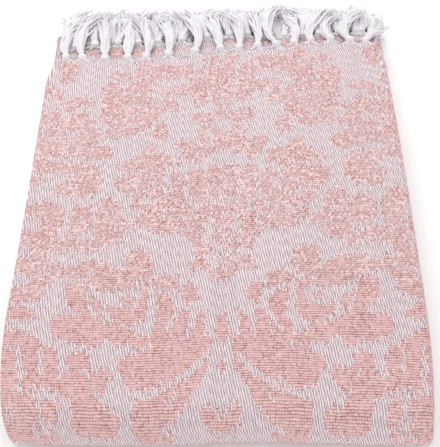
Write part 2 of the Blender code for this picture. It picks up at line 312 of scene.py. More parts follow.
def folded(u, v):
    """The flat cloth's points (u, v) in the folded throw, before it settles.

    The fold across gives x and a ply's height in its stack, and the fold along gives the stack's y and z,
    with the ply's height laid off along the stack's normal. The top hems are skewed and slipped by ply, and
    their corners are drawn in.
    """
    ply_place, ply_level, _, _ = strip_spots(ACROSS, u)
    place, level, normal_place, normal_level = strip_spots(ALONG, v)
    x = HALF_WIDTH - ply_place
    y = place - ply_level * normal_place
    z = STACK_MIDDLE + level - ply_level * normal_level
    y = y + TOP_SKEW * smooth(v, TOP_STACK_START, TOP_STACK_START + SKEW_REACH) * x / HALF_WIDTH
    run_middles = PLY_STARTS[0:7:2] + np.array([piece[0] for piece in ACROSS[0::2]]) / 2
    slip = np.interp(u, run_middles, HEM_SLIP)
    slip = slip + wave(HEM_SLIP_WAVE, x) * slip / max(HEM_SLIP)
    slip = np.where(on_outer_ply(u), np.interp(x, HEM_PLACES, HEM_BACK), slip)
    y = y + slip * smooth(v, TOP_STACK_START + RUN_ALONG / 2, CLOTH_LENGTH)
    tuck = smooth(v, CLOTH_LENGTH - TUCK_LENGTH, CLOTH_LENGTH) * by_side(HEM_TUCK, x)
    return np.stack([x - tuck * x / HALF_WIDTH, y, z], -1)


def settled(points):
    """The stack under its own weight: heights scaled by 1 plus slow waves, a sag at the sides and a swell at
    the front, then the front waved and drawn in, and the plies slipped sideways by slow waves.
    """
    x, y, z = points[..., 0], points[..., 1], points[..., 2]
    across = wave(RISE_ACROSS, x) - EDGE_SAG * smooth(np.abs(x), HALF_WIDTH - EDGE_WIDTH, HALF_WIDTH)
    along = wave(RISE_ALONG, y) + FRONT_SWELL * (1 - smooth(y, 0, FRONT_WIDTH))
    z = LOWEST_PLY + (z - LOWEST_PLY) * (1 + across + along)
    y = y + wave(FRONT_WAVE, x) * (1 - smooth(y, 0, RUN_ALONG / 2))
    x = x + wave(SLIP_BY_HEIGHT, z) + wave(SLIP_ALONG, y)
    pinch = by_side(FRONT_PINCH, x) * np.maximum(1 - y / PINCH_START, 0) ** 2
    return np.stack([x - pinch * x / HALF_WIDTH, y, z], -1)


def centring():
    """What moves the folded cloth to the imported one's place: their boxes' middles across and fronts agree."""
    u, v = np.meshgrid(np.linspace(0, CLOTH_WIDTH, 500), np.linspace(0, CLOTH_LENGTH, 500), indexing="ij")
    points = settled(folded(u, v)).reshape(-1, 3)
    low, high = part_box("throw_cloth")
    return np.array(
        [
            (low[0] + high[0]) / 2 - (points[:, 0].min() + points[:, 0].max()) / 2,
            low[1] - points[:, 1].min() + CLOTH_THICKNESS / 2,
            0,
        ]
    )


CENTRING = centring()


def bent_lines(table):
    """Points on a table's bent lines, from root to tip, with the share of the way and the heading at each.

    A line is root + share * way, bent sideways by bend * 4 * share * (1 - share).
    """
    root, tip, bend = table[:, 0:2], table[:, 2:4], table[:, 4]
    way = tip - root
    side = np.stack([-way[:, 1], way[:, 0]], 1) / np.linalg.norm(way, axis=1)[:, None]
    share = np.linspace(0, 1, SPINE_POINTS)[None, :, None]
    sideways = side[:, None] * bend[:, None, None]
    points = root[:, None] + way[:, None] * share + sideways * 4 * share * (1 - share)
    headings = way[:, None] + sideways * 4 * (1 - 2 * share)
    return points, share[..., 0], headings / np.linalg.norm(headings, axis=2, keepdims=True)


def in_repeat(across, along):
    """A place's distance from the mirror axis, its height in the repeat, and -1 or 1 by its side."""
    side = (across + REPEAT_ACROSS / 2) % REPEAT_ACROSS - REPEAT_ACROSS / 2
    return np.abs(side), (along - FIRST_ROW) % REPEAT_ALONG + FIRST_ROW, np.where(side < 0, -1.0, 1.0)


def nearest_spots(side, height, points, half):
    """Each bent line's number in turn, with every place's nearest spot on it, its gap from there, and the gap
    across and along. Nearest is where the line's half width less the gap is greatest.
    """
    every = np.arange(len(side))
    for number, line in enumerate(points):
        gap_across = side[:, None] - line[:, 0]
        gap_along = height[:, None] - line[:, 1]
        gap = np.hypot(gap_across, gap_along) + 1e-9
        spot = (half[number] - gap).argmax(-1)
        yield number, spot, gap[every, spot], gap_across[every, spot], gap_along[every, spot]


def figure_depth(across, along):
    """How deep each place is in the figure, in millimetres, with its slope across and its slope along.

    In a petal it is the greatest of half width less distance over the petal's line, where the half width is
    the parabola through the root's, the middle's and the tip's. In the figure it is the greatest over the
    petals, with small lobes added as a product of sines.
    """
    side, height, mirrored = in_repeat(across, along)
    table = np.array(PETALS, float)
    points, share, _ = bent_lines(table)
    half = table[:, 5:6] * (1 - share) * (1 - 2 * share) + table[:, 6:7] * 4 * share * (1 - share)
    half = half + table[:, 7:8] * share * (2 * share - 1)
    depth = np.full(side.shape, -1e3)
    slope = np.zeros(side.shape + (2,))
    for petal, spot, gap, gap_across, gap_along in nearest_spots(side, height, points, half):
        here = half[petal, spot] - gap
        leads = here > depth
        depth = np.where(leads, here, depth)
        outwards = np.stack([-gap_across / gap * mirrored, -gap_along / gap], -1)
        slope = np.where(leads[:, None], outwards, slope)
    lobes_across = np.sin(side / 2.3 + 1.7 * np.sin(height / 7.3))
    lobes_along = np.sin(height / 2.1 + np.sin(side / 6.1))
    return np.concatenate([(depth + lobes_across * lobes_along)[:, None], slope], -1)


def white_lines(across, along):
    """Each place's signed distance from its nearest white line as a share of the line's half width, with its
    slopes across and along, and its plain distance in millimetres from the line's nearest point.
    """
    side, height, mirrored = in_repeat(across, along)
    table = np.array(LINES, float)
    points, _, headings = bent_lines(table)
    nearest_gap = np.full(side.shape, 1e3)
    beside = np.zeros(side.shape + (3,))
    for line, spot, gap, gap_across, gap_along in nearest_spots(side, height, points, np.zeros(len(table))):
        to_side, up = headings[line, spot, 1], -headings[line, spot, 0]
        signed = gap_across * to_side + gap_along * up
        here = np.stack([signed, to_side * mirrored, up], -1) / table[line, 5]
        leads = gap < nearest_gap
        nearest_gap = np.where(leads, gap, nearest_gap)
        beside = np.where(leads[:, None], here, beside)
    return beside, nearest_gap


def linear(code):
    """The linear colour of an sRGB hex code, with full alpha."""
    levels = np.array([int(code[place:place + 2], 16) for place in (1, 3, 5)]) / 255
    low, high = levels / 12.92, ((levels + 0.055) / 1.055) ** 2.4
    return (*np.where(levels <= 0.04045, low, high).tolist(), 1.0)


def add_node(tree, kind, *inputs, **settings):
    """Adds a node with its settings. A kind in capitals is a Math node's operation. The inputs are filled in
    order: None leaves one as it is, a node or a socket is linked, and anything else is its value, where a hex
    code is a colour.
    """
    if kind.isupper():
        kind, settings = "ShaderNodeMath", {"operation": kind}
    node = tree.nodes.new(kind)
    for name, value in settings.items():
        setattr(node, name, value)
    for socket, value in zip(node.inputs, inputs):
        if isinstance(value, bpy.types.Node):
            value = value.outputs[0]
        if isinstance(value, bpy.types.NodeSocket):
            tree.links.new(value, socket)
        elif value is not None:
            socket.default_value = linear(value) if isinstance(value, str) else value
    return node


def new_material(name, **values):
    """A material with the given values on its shader's own sockets, and what adds a node to it."""
    material = bpy.data.materials.new(name)
    material.use_nodes = True
    shader = material.node_tree.nodes["Principled BSDF"]
    for socket, value in values.items():
        shader.inputs[socket.replace("_", " ")].default_value = value
    return material, functools.partial(add_node, material.node_tree)


def finish_material(material, colour, height=None, strength=0.0, distance=0.0):
    """Links the colour to the material's shader, and the height through a bump of that strength."""
    tree = material.node_tree
    shader = tree.nodes["Principled BSDF"]
    tree.links.new(colour.outputs[0], shader.inputs["Base Color"])
    if height is not None:
        bump = add_node(tree, "ShaderNodeBump", strength, distance)
        tree.links.new(height.outputs[0], bump.inputs["Height"])
        tree.links.new(bump.outputs[0], shader.inputs["Normal"])


RANGE = "ShaderNodeMapRange"
NOISE = "ShaderNodeTexNoise"
CHANCE = "ShaderNodeTexWhiteNoise"
MIX = "ShaderNodeMixRGB"
VECTOR = "ShaderNodeVectorMath"
JOINED = "ShaderNodeCombineXYZ"
SOFT = {"interpolation_type": "SMOOTHSTEP"}


def grains(add, place, a_metre, detail, roughness):
    """Soft noise with that many grains a metre, or a turn of a strand, across and along."""
    scaled = add(VECTOR, place, (*a_metre, 0.0), operation="MULTIPLY")
    return add(NOISE, scaled, None, 1.0, detail, roughness)


def off_repeat(add, value, repeat):
    """How far a value is from the nearest whole number of repeats."""
    return add("ABSOLUTE", add("WRAP", value, repeat / 2, -repeat / 2))


def woven_damask(name, reverse):
    """Cotton, woven on a jacquard loom as a two-faced five-end satin, its back with the colours swapped.

    To the eye it is matt and soft. In the ground the fine white warp floats over four picks and dips under
    the fifth, in long slanting streaks. In the figure the thick coral weft makes rows of short plump floats.
    """
    material, add = new_material(name, Roughness=0.92, IOR=1.5, Sheen_Weight=0.35, Sheen_Roughness=0.4)
    flat = add("ShaderNodeUVMap", uv_map="flat_cloth")

    # Wander of the threads, some 0.4 mm over 14 mm and less
    wander = add(NOISE, flat, None, 70.0, 3.0, 0.6)
    walked = add(VECTOR, wander.outputs["Color"], (0.0012, 0.0020, 0.0), flat, operation="MULTIPLY_ADD")
    place = add("ShaderNodeSeparateXYZ", walked)
    across, along = place.outputs["X"], place.outputs["Y"]

    # How loose the weave is: tight up to 85 mm behind the front fold, and slack from 138 mm on
    loose = add(RANGE, along, TOP_STACK_START + TIGHT_REACH, TOP_STACK_START + SLACK_REACH)

    def by_looseness(tight, slack):
        """A value that goes evenly from the tight weave's to the slack one's."""
        return add("MULTIPLY_ADD", loose, slack - tight, tight)

    # The picks' own crowding, over 9 by 3 mm, and closer picks round the front fold
    crowding = grains(add, walked, (110.0, 330.0), 2.0, 0.6)
    warp = add("MULTIPLY", across, 1 / WARP_PITCH)
    pick = add("MULTIPLY", along, 1 / PICK_PITCH)
    pick = add("MULTIPLY_ADD", crowding, by_looseness(0.6, 1.3), pick)
    fold_start, fold_end = TOP_STACK_START - FOLD_REACH, TOP_STACK_START + FOLD_PAST
    pick = add("ADD", pick, add(RANGE, along, fold_start, fold_end, 0.0, FOLD_EXTRA_PICKS))

    # Ground: how far each place is from where its warp end dips under a pick, in picks
    warp_number = add("FLOOR", warp)
    warp_chance = add(CHANCE, None, warp_number, noise_dimensions="1D")
    slipped_pick = add("MULTIPLY_ADD", warp_chance, 0.7, pick)
    stepped = add("MULTIPLY_ADD", warp_number, -SATIN_STEP, slipped_pick)
    from_dip = off_repeat(add, stepped, SATIN_ENDS)
    dip = add(RANGE, from_dip, 0.45, 1.9, 1.0, 0.0, **SOFT)
    glimpse = add(RANGE, from_dip, 0.2, 0.75, 0.35, 0.0, **SOFT)
    warp_crown = add(RANGE, add("PINGPONG", warp, 0.5), 0.0, 0.38, **SOFT)

    # Figure: the ribs of the picks, ruffled where they are slack and on the front fold's face, 18 mm down
    on_face = add(RANGE, along, TOP_STACK_START, TOP_STACK_START - 0.018, 0.0, 0.8)
    ruffled = add("MAXIMUM", loose, on_face)
    ruffle = add("MULTIPLY", grains(add, walked, (800.0, 330.0), 1.0, 0.5), ruffled)
    pick = add("MULTIPLY_ADD", ruffle, 1.3, pick)
    pick_number = add("FLOOR", pick)
    rib = add(RANGE, add("PINGPONG", pick, 0.5), 0.0, 0.34, **SOFT)

    # Where each pick is bound, by its distance in ends, and where its floats are pinched, twice as often
    pick_chance = add(CHANCE, None, pick_number, noise_dimensions="1D")
    slipped_warp = add("MULTIPLY_ADD", pick_chance, 2.2, warp)
    bound = add("MULTIPLY_ADD", pick_number, -SATIN_BIND, slipped_warp)
    bind = add(RANGE, off_repeat(add, bound, SATIN_ENDS), 0.3, 0.8, 1.0, 0.0, **SOFT)
    pinch = add(RANGE, off_repeat(add, bound, SATIN_ENDS / 2), 0.05, 0.85, 1.0, 0.0, **SOFT)
    plump = add("SUBTRACT", 1.0, add("MULTIPLY", pinch, by_looseness(0.52, 0.85)))
    float_number = add("FLOOR", add("MULTIPLY_ADD", bound, 2 / SATIN_ENDS, 0.5))
    float_chance = add(CHANCE, add(JOINED, float_number, pick_number), noise_dimensions="2D")

    # The figure steps by cells of two ends by three picks: how far this place is from its cell's middle
    cell_ends, cell_picks, cell_stagger = 2.0, 3.0, 1.2
    column = add("FLOOR", add("MULTIPLY", warp, 1 / cell_ends))
    to_middle = add("SUBTRACT", add("MULTIPLY_ADD", column, cell_ends, cell_ends / 2), warp)
    stagger = add("MULTIPLY_ADD", column, cell_stagger, pick)
    row = add("FLOOR", add("MULTIPLY", stagger, 1 / cell_picks))
    up_to_middle = add("SUBTRACT", add("MULTIPLY_ADD", row, cell_picks, cell_picks / 2), stagger)
    across_step = add("MULTIPLY", to_middle, WARP_PITCH * 1000)
    along_step = add("MULTIPLY", up_to_middle, PICK_PITCH * 1000)
    step = add(JOINED, 1.0, across_step, along_step)
    chance = add(CHANCE, add(JOINED, column, row), noise_dimensions="2D")

    # The figure's depth and its white lines' distances at the cell's middle, made ragged by the cell's chance
    at_middle = {}
    for stored_name in ("figure", "white_line"):
        stored = add("ShaderNodeAttribute", attribute_name=stored_name).outputs["Vector"]
        at_middle[stored_name] = add(VECTOR, stored, step, operation="DOT_PRODUCT").outputs["Value"]
    ragged = add("MULTIPLY_ADD", add("ADD", chance, -0.5), by_looseness(1.8, 2.4), at_middle["figure"])
    in_figure = add("GREATER_THAN", ragged, 0.0)
    beside = add("MULTIPLY_ADD", chance, by_looseness(1.1, 1.8), add("ABSOLUTE", at_middle["white_line"]))
    line_gap = add("ShaderNodeAttribute", attribute_name="line_gap").outputs["Fac"]
    off_line = add("MAXIMUM", add("GREATER_THAN", beside, 1.6), add("GREATER_THAN", line_gap, LINE_REACH))
    coral_here = add("MULTIPLY", in_figure, off_line)
    if reverse:
        coral_here = add("SUBTRACT", 1.0, coral_here)

    # Ground colour: white floats of uneven brightness, mauve-grey painted shade in their dips and in the
    # valleys between the ends, and a little coral behind
    streak = grains(add, walked, (700.0, 110.0), 2.0, 0.6)
    streak = add(RANGE, add("MULTIPLY_ADD", warp_chance, 0.35, streak), 0.35, 1.0)
    white = add(MIX, streak, "#F6E9EE", "#FFFAFD")
    dip_painted_shade = add("MULTIPLY", add(RANGE, streak, 0.0, 1.0, 1.0, 0.7), dip)
    ground = add(MIX, dip_painted_shade, white, "#98848C")
    ground = add(MIX, glimpse, ground, "#C59794")
    # Painted shade in the grooves between neighbouring warp ends, a little deeper in the tight weave
    valley_painted_shade = add(RANGE, warp_crown, 0.0, 1.0, by_looseness(0.38, 0.32), 0.0)
    ground = add(MIX, valley_painted_shade, ground, "#A2909A")

    # Figure colour: soft slubby coral floats, with painted shade in the hollows between them, and white ends
    # where they are bound. The painted shade is a fifth weaker on the front fold's face, and in the slack weave
    # some floats are pale.
    slub = grains(add, walked, (1150.0, 650.0), 2.0, 0.65)
    slub = add("MULTIPLY_ADD", add("ADD", float_chance, -0.5), by_looseness(0.08, 0.25), slub)
    coral = add(MIX, add(RANGE, slub, 0.225, 0.825), "#E0A7A7", "#FFE8E9")
    body = add("MULTIPLY", rib, plump)
    hollow_painted_shade = add(RANGE, body, 0.0, 0.9, 1.0, 0.0)
    hollow_chance = add(RANGE, float_chance, 0.0, 1.0, 1.05, 0.4)
    stretched = add(RANGE, along, TOP_STACK_START - TIGHT_REACH / 3, TOP_STACK_START, 0.8, 1.0)
    for factor in (hollow_chance, stretched, by_looseness(1.15, 1.10)):
        hollow_painted_shade = add("MULTIPLY", hollow_painted_shade, factor)
    coral = add(MIX, hollow_painted_shade, coral, "#9C6E6E")
    # Dark red-brown painted shade of holes deep in the hollows beside some floats, more in the tight weave
    hole_painted_shade = add(RANGE, float_chance, 0.08, 0.16, 1.0, 0.0)
    pale_bead = add(RANGE, float_chance, 0.72, 0.92)
    for spot, weight, extent, code in (
        (hole_painted_shade, by_looseness(0.55, 0.15), hollow_painted_shade, "#7A4A48"),
        (bind, rib, by_looseness(0.12, 0.60), "#F4E6E6"),
        (pale_bead, loose, body, "#FBF0F0"),
    ):
        share = add("MULTIPLY", add("MULTIPLY", spot, weight), extent)
        coral = add(MIX, share, coral, code)

    # Where the weave is slack, white ends show through the figure in patches of some 40 mm
    patch = add(RANGE, add(NOISE, flat, None, 24.0, 2.0, 0.6), 0.38, 0.60, 0.0, 0.16)
    coral_share = add("SUBTRACT", 1.0, add("MULTIPLY", patch, loose))
    colour = add(MIX, add("MULTIPLY", coral_share, coral_here), ground, coral)

    # A faint drift of the yarns' hue between warm and cool, over some 3 mm
    hue = add(RANGE, add(NOISE, walked, None, 350.0, 1.0, 0.5), 0.3, 0.7)
    tint = add(MIX, hue, "#F5EEE5", "#EDEBF2")
    colour = add(MIX, 1.0, colour, tint, blend_type="MULTIPLY")

    # Relief, as a share of the bump's distance
    float_height = add(RANGE, dip, 0.0, 1.0, 0.8, 0.0)
    ground_height = add("MULTIPLY_ADD", warp_crown, 0.2, float_height)
    height = add(MIX, coral_here, ground_height, body)
    finish_material(material, colour, height, 0.5, 0.0005)
    return material


def spun_yarn():
    """Cotton, spun soft, knotted by hand and combed out.

    To the eye it is white, matt and fluffy, with fine fibres along it.
    """
    material, add = new_material(
        "cotton_yarn_spun", Roughness=0.98, IOR=1.4, Sheen_Weight=0.2, Sheen_Roughness=0.5
    )
    flat = add("ShaderNodeUVMap", uv_map="yarn")
    # Fibres drawn coarser than the real 0.02 mm so that they show, in slow waves along the strand
    fibre = grains(add, flat, (9.0, 160.0), 3.0, 0.6)
    body = add("ShaderNodeTexCoord").outputs["Object"]
    # The colour is partly a random tone and partly painted shade: darker where the fibres' bump lies low
    tint = add("MULTIPLY_ADD", fibre, 0.6, add(NOISE, body, None, 380.0, 3.0, 0.6))
    white = add(MIX, add(RANGE, tint, 0.5, 1.1), "#DBD8DC", "#E8E5E9")
    fuzz = add(NOISE, body, None, 1500.0, 2.0, 0.6)
    height = add("MULTIPLY_ADD", fibre, 0.8, fuzz)
    finish_material(material, white, height, 0.3, 0.0003)
    return material


def matt_paper():
    """Paper, white and matt, rolled out flat: an even pale ground with no gloss."""
    material, add = new_material("paper_matt_white", Roughness=0.95)
    grain = add(NOISE, add("ShaderNodeTexCoord").outputs["Object"], None, 900.0, 2.0, 0.5)
    finish_material(material, add(MIX, grain, "#FBFAFA", "#FFFFFF"))
    return material


def stations(pieces, steps):
    """The distances of the mesh's lines: even steps of each piece of a folded strip, and its end."""
    ends = np.cumsum([0] + [piece[0] for piece in pieces])
    parts = [np.linspace(ends[n], ends[n + 1], count, endpoint=False) for n, count in enumerate(steps)]
    return np.concatenate([*parts, ends[-1:]])


def finer(lines, first, last):
    """The lines from first to last, with FINE_STEPS even steps in place of each one."""
    numbers = np.arange((last - first) * FINE_STEPS + 1) / FINE_STEPS + first
    return np.interp(numbers, np.arange(len(lines)), lines)


def sheet_mesh():
    """The flat cloth's mesh points (u, v) and its faces: a coarse grid, finer over the outermost ply's front
    and top, where a coarse face that meets the fine ones takes their points along its edge.
    """
    columns, rows = stations(ACROSS, STEPS_ACROSS), stations(ALONG, STEPS_ALONG)
    left = sum(STEPS_ACROSS[:OUTER_PLY])
    right = left + STEPS_ACROSS[OUTER_PLY]
    front = sum(STEPS_ALONG[:FRONT_TURN])
    back = len(rows) - 1
    fine_columns, fine_rows = finer(columns, left, right), finer(rows, front, back)
    fine = np.arange(len(fine_columns) * len(fine_rows)).reshape(len(fine_columns), len(fine_rows))
    coarse = np.full((len(columns), len(rows)), -1)
    coarse[left:right + 1, front:back + 1] = fine[::FINE_STEPS, ::FINE_STEPS]
    outside = coarse < 0
    coarse[outside] = fine.size + np.arange(outside.sum())
    fine_u, fine_v = np.meshgrid(fine_columns, fine_rows, indexing="ij")
    coarse_u, coarse_v = np.meshgrid(columns, rows, indexing="ij")
    u = np.concatenate([fine_u.ravel(), coarse_u[outside]])
    v = np.concatenate([fine_v.ravel(), coarse_v[outside]])

    def quads(grid):
        return np.stack([grid[:-1, :-1], grid[1:, :-1], grid[1:, 1:], grid[:-1, 1:]], -1)

    def border(outer, line):
        """The faces between a row of coarse points and the fine line beside it."""
        first = np.arange(len(outer) - 1)[:, None] * FINE_STEPS
        return np.column_stack([outer[:-1], line[first + np.arange(FINE_STEPS + 1)], outer[1:]])

    plain = np.ones((len(columns) - 1, len(rows) - 1), bool)
    plain[left - 1:right + 1, front:back] = False
    plain[left:right, front - 1] = False
    faces = quads(fine).reshape(-1, 4).tolist() + quads(coarse)[plain].tolist()
    faces += border(coarse[left - 1, front:], fine[0]).tolist()
    faces += border(coarse[right + 1, front:], fine[-1])[:, ::-1].tolist()
    faces += border(coarse[left:right + 1, front - 1], fine[:, 0])[:, ::-1].tolist()
    return u, v, faces


def normals_at(u, v):
    """The cloth's unit normals, from the cross product of small steps across and along."""
    step = 0.0002
    u, v = np.clip(u, step, CLOTH_WIDTH - step), np.clip(v, step, CLOTH_LENGTH - step)
    across = settled(folded(u + step, v)) - settled(folded(u - step, v))
    along = settled(folded(u, v + step)) - settled(folded(u, v - step))
    normal = np.cross(across, along)
    return normal / np.linalg.norm(normal, axis=-1, keepdims=True)


# Soft creases of the top and front, in millimetres: from and to, across and up from the front fold, the
# depth, and the half width
CREASES = (
    (-150, -22, -118, -24, 0.7, 4.0),
    (-60, -14, 10, -17, 0.35, 6.0),
    (60, -20, 130, -15, 0.4, 6.0),
    (-158, 330, -128, 384, 0.5, 5.0),
    (128, 352, 150, 398, 0.45, 5.0),
    (-40, 210, 70, 236, 0.25, 12.0),
    (-120, 120, -30, 92, 0.25, 12.0),
    (60, 70, 140, 110, 0.25, 12.0),
)
# How far the figure's thick weft stands out, in millimetres
FIGURE_RISE = 0.30
# All of it fades in over 12 mm from the sides, and over 0.016 m up from the front's lower edge
SIDE_FADE = 12
FRONT_FADE = 0.016

# How the top hem is drawn in to its knots: how deep in the cloth, the height of its cosine from knot to
# knot, how far back that lies, and how far the hem closes up on a knot and rises there
GATHER_DEPTH = 0.012
GATHER_OUT = 0.0022
GATHER_BACK = 0.0006
GATHER_CLOSE = 0.0026
GATHER_RISE = 0.0006


def soft_relief(across, along, depth):
    """How far the outermost ply stands out, in metres: slow waves, creases, and the figure's thicker weft.

    The waves are products of two sines, 0.30 and 0.22 mm high and some 60 to 150 mm long. A crease is
    -depth * exp(-(distance / half width) ** 2) from its line's nearest point.
    """
    relief = 0.30 * np.sin(across / 17 + 0.6 * np.sin(along / 29)) * np.sin(along / 23 + 0.9)
    relief += 0.22 * np.sin(across / 9.5 + along / 31 + 2.0) * np.sin(along / 12.5 - across / 40)
    for from_across, from_along, to_across, to_along, deep, half_width in CREASES:
        way = np.array([to_across - from_across, to_along - from_along], float)
        gap = np.stack([across - from_across, along - from_along], -1)
        share = np.clip(gap @ way / (way @ way), 0, 1)
        distance = np.linalg.norm(gap - share[..., None] * way, axis=-1)
        relief -= deep * np.exp(-((distance / half_width) ** 2))
    relief += FIGURE_RISE * smooth(depth, -1.0, 1.5)
    return relief / 1000


def set_attribute(mesh, name, kind, field, values):
    """Stores a number or three on each point of the mesh."""
    attribute = mesh.attributes.new(name, kind, "POINT")
    attribute.data.foreach_set(field, np.ascontiguousarray(values, np.float32).ravel())


def set_corner_map(mesh, name, places):
    """Stores a place on each corner of the mesh's faces, as its own UV map."""
    mesh.uv_layers.new(name=name).uv.foreach_set("vector", places.astype(np.float32).ravel())


def add_piece(name, points, faces, material):
    """A smooth-shaded object at the origin, with its place in its mesh."""
    mesh = bpy.data.meshes.new(name)
    mesh.from_pydata(points.tolist(), [], faces)
    mesh.polygons.foreach_set("use_smooth", np.ones(len(mesh.polygons), bool))
    mesh.materials.append(material)
    mesh.update()
    piece = bpy.data.objects.new(name, mesh)
    bpy.context.scene.collection.objects.link(piece)
    return piece


def hem_gather(u, v, points, knots):
    """Draws the top hem in to its knots, by the gap from the nearest as a share of half the spacing.

    It goes out by cos(pi * share), together by sin(pi * share), and up by 1 - share.
    """
    near = np.where(on_outer_ply(u), smooth(v, CLOTH_LENGTH - GATHER_DEPTH, CLOTH_LENGTH), 0)
    gaps = points[:, :1] - knots
    gap = gaps[np.arange(len(gaps)), np.abs(gaps).argmin(1)]
    share = np.clip(np.abs(gap) / (TASSEL_PITCH / 2), 0, 1)
    close = -GATHER_CLOSE * np.sign(gap) * np.sin(math.pi * share)
    out = GATHER_OUT * np.cos(math.pi * share) - GATHER_BACK
    return points + np.stack([close, out, GATHER_RISE * (1 - share)], -1) * near[:, None]


def cloth_piece(face, back, knots):
    """The whole cloth as one folded sheet, with its figure on its points and its flat place as its UV map."""
    u, v, faces = sheet_mesh()
    across = (u - PLY_STARTS[OUTER_PLY] - HALF_WIDTH) * 1000
    along = (v - TOP_STACK_START) * 1000
    depth = figure_depth(across - AXIS_ON_TOP, along)
    beside, line_gap = white_lines(across - AXIS_ON_TOP, along)
    outermost = on_outer_ply(u) & (v >= STACK_STARTS[FRONT_TURN])
    fade = smooth(HALF_WIDTH * 1000 - np.abs(across), 0, SIDE_FADE)
    fade = fade * smooth(v, STACK_STARTS[FRONT_TURN], STACK_STARTS[FRONT_TURN] + FRONT_FADE)
    relief = np.where(outermost, soft_relief(across, along, depth[:, 0]) * fade, 0)
    points = settled(folded(u, v)) + normals_at(u, v) * relief[:, None]
    points = hem_gather(u, v, points + CENTRING, knots)
    piece = add_piece("throw_cloth_woven", points, faces, face)
    mesh = piece.data
    set_attribute(mesh, "figure", "FLOAT_VECTOR", "vector", depth)
    set_attribute(mesh, "white_line", "FLOAT_VECTOR", "vector", beside)
    set_attribute(mesh, "line_gap", "FLOAT", "value", line_gap)
    corners = np.empty(len(mesh.loops), np.int32)
    mesh.loops.foreach_get("vertex_index", corners)
    set_corner_map(mesh, "flat_cloth", np.column_stack([u, v])[corners])
    thicken = piece.modifiers.new("thickness", "SOLIDIFY")
    thicken.thickness = CLOTH_THICKNESS
    thicken.offset = 0
    thicken.use_even_offset = True
    mesh.materials.append(back)
    thicken.material_offset = 1
    return piece


def tassel_roots(hem_line, odd_phase, seed, top_places=None):
    """Where a hem's tassels start, before the stack settles, with each one's length and whether it is on top.

    They stand at even steps on each ply, half a step apart on neighbouring plies, each moved a little. With
    top places, those of the topmost ply stand there, and those of the next one midway between them.
    """
    chance = np.random.default_rng(seed)
    roots, lengths, on_top = [], [], []
    for number in range(0, len(ACROSS), 2):
        length, start, _, level = ACROSS[number]
        by_height = round(level / PLY_PITCH - 0.5)
        phase = odd_phase if by_height % 2 else 1 - odd_phase
        count = np.arange(TASSELS_A_PLY)
        distance = np.abs((count + phase) * TASSEL_PITCH - start)
        distance = distance[(distance > SELVEDGE_MARGIN) & (distance < length - SELVEDGE_MARGIN)]
        distance = distance + chance.normal(0, TASSEL_JITTER, len(distance))
        reach = TASSEL_REACH
        if top_places is not None and number == OUTER_PLY:
            distance = HALF_WIDTH + top_places
        if top_places is not None and number == OUTER_PLY - 2:
            distance = HALF_WIDTH - np.append((top_places[1:] + top_places[:-1]) / 2, END_PLACE)
            reach = TASSEL_REACH * SECOND_ROW_LENGTH
        count = count[:len(distance)]
        roots.append(folded(PLY_STARTS[number] + distance, np.full(len(distance), hem_line)))
        lengths.append(reach * (1 + TASSEL_UNEVENNESS * np.sin(count * UNEVEN_STEP + by_height)))
        on_top.append(np.full(len(distance), number == OUTER_PLY))
    return np.concatenate(roots), np.concatenate(lengths), np.concatenate(on_top)


def tassel_spots(roots, reach, aside, above, lift):
    """Points of tassels: reach along y from the root, less a droop past the stack, and swung aside.

    Droop is an S-curve of y, and swing is the square of the reach's share times a slow sine across the hem.
    Lift raises it by an S-curve from the root to the knot.
    """
    x, y, z = (roots[..., axis] for axis in range(3))
    y = y + reach
    raised = lift * smooth(reach, 0, KNOT_SHARE * TASSEL_REACH)
    droop = TASSEL_DROOP * smooth(y, RUN_ALONG + STACK_PITCH / 2, RUN_ALONG + DROOP_SPAN)
    bend = (np.maximum(reach, 0) / TASSEL_REACH) ** 2
    swing = TASSEL_SWING * bend * np.sin(math.tau * x / SWING_WAVE)
    return settled(np.stack([x + swing + aside, y, z + raised - droop + above], -1)) + CENTRING


def tubes(centres, half_width, half_depth, sides):
    """Closed tubes along rows of centres: a ring is centre + cos * half width * side + sin * half depth * up.

    Side is at right angles to the row's heading and level, and up to both. The ends are closed by a face
    each. It gives the points, the faces, and the corners' places: the share around and the length along.
    """
    heading = np.gradient(centres, axis=1)
    heading /= np.linalg.norm(heading, axis=-1, keepdims=True)
    side = np.cross(heading, np.array([0.0, 0.0, 1.0]))
    side /= np.linalg.norm(side, axis=-1, keepdims=True)
    up = np.cross(side, heading)
    turn = np.arange(sides) * math.tau / sides
    ring = half_width[..., None, None] * np.cos(turn)[:, None] * side[..., None, :]
    ring = ring + half_depth[..., None, None] * np.sin(turn)[:, None] * up[..., None, :]
    points = centres[..., None, :] + ring
    count, rings = centres.shape[:2]
    index = np.arange(count * rings * sides).reshape(count, rings, sides)
    after = np.roll(index, -1, 2)
    walls = np.stack([index[:, :-1], index[:, 1:], after[:, 1:], after[:, :-1]], -1)
    step = np.linalg.norm(np.diff(centres, axis=1), axis=-1)
    run = np.concatenate([np.zeros((count, 1)), np.cumsum(step, 1)], 1)
    around = np.arange(sides) / sides
    corner_around = np.stack([around, around, around + 1 / sides, around + 1 / sides], -1)
    corner_run = np.stack([run[:, :-1], run[:, 1:], run[:, 1:], run[:, :-1]], -1)[:, :, None]
    wall_places = np.stack(np.broadcast_arrays(corner_around, corner_run), -1).reshape(-1, 2)
    starts, ends = index[:, 0], index[:, -1, ::-1]
    end_places = np.tile(np.stack([around, np.zeros(sides)], -1), (2 * count, 1))
    faces = walls.reshape(-1, 4).tolist() + np.concatenate([starts, ends]).tolist()
    return points.reshape(-1, 3), faces, np.concatenate([wall_places, end_places])


def joined(parts):
    """Several tubes' points, faces and places as one."""
    points, faces, places, offset = [], [], [], 0
    for part_points, part_faces, part_places in parts:
        points.append(part_points)
        faces += [[corner + offset for corner in face] for face in part_faces]
        places.append(part_places)
        offset += len(part_points)
    return np.concatenate(points), faces, np.concatenate(places)


